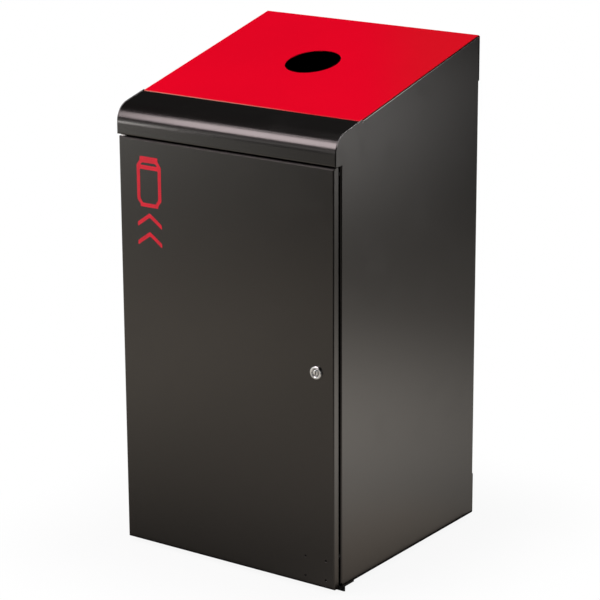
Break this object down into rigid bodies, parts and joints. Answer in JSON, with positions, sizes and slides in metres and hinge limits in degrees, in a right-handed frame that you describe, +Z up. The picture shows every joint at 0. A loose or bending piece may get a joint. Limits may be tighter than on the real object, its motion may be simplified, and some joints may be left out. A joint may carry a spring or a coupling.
{
  "type": "recycling bin",
  "caption": "Free-standing sheet-metal recycling bin with a sloping red lid, a round can mouth, a rounded nose and a lockable side-hung front door over a bag shelf.",
  "frame": {"origin": "on the floor, under the middle of the overall box", "axes": "+Z up, -Y towards the front with the door, +X to the right of someone who faces the door"},
  "size_m": [0.4, 0.3966, 0.7898],
  "materials": {
    "grey_powder_coat": "satin powder coat with a fine grain",
    "red_powder_coat": "satin powder coat",
    "chrome": "polished",
    "zinc_steel": "zinc plated",
    "white_nylon": "moulded nylon",
    "black_plastic": "moulded",
    "black_rubber": "matt"
  },
  "bodies": {
    "cabinet": {"left_side_panel": "grey_powder_coat", "right_side_panel": "grey_powder_coat", "back_panel": "grey_powder_coat", "base_tray": "grey_powder_coat", "front_nose": "grey_powder_coat", "lid_panel": "red_powder_coat", "lid_rivets": "zinc_steel", "glide_feet": "black_plastic", "door_buffers": "black_rubber", "lower_hinge_bracket": "zinc_steel", "lower_hinge_pin": "zinc_steel", "upper_hinge_pin": "zinc_steel", "left_shelf_rail": "grey_powder_coat", "right_shelf_rail": "grey_powder_coat", "bag_shelf": "grey_powder_coat", "left_clamp_clip": "grey_powder_coat", "right_clamp_clip": "grey_powder_coat"},
    "door": {"door_panel": "grey_powder_coat", "door_stiffener": "grey_powder_coat", "door_hinge_plate": "grey_powder_coat", "upper_hinge_bush": "white_nylon", "lower_hinge_bush": "white_nylon", "lock_housing": "chrome", "lock_nut": "zinc_steel"},
    "lock": {"lock_plug": "chrome", "lock_cam": "zinc_steel", "cam_screw": "zinc_steel"},
    "clamp": {"bag_clamp": "zinc_steel"}
  },
  "joints": [
    {"name": "door_hinge", "type": "hinge", "parent": "cabinet", "child": "door", "pos_m": [-0.191, -0.18885, 0.0177], "axis": [0, 0, -1], "range_deg": [0, 110]},
    {"name": "lock_turn", "type": "hinge", "parent": "door", "child": "lock", "pos_m": [0.1656, -0.19485, 0.3461], "axis": [0, -1, 0], "range_deg": [0, 90]},
    {"name": "clamp_lift", "type": "hinge", "parent": "cabinet", "child": "clamp", "pos_m": [0, 0.1536, 0.5734], "axis": [-1, 0, 0], "range_deg": [0, 25]}
  ]
}
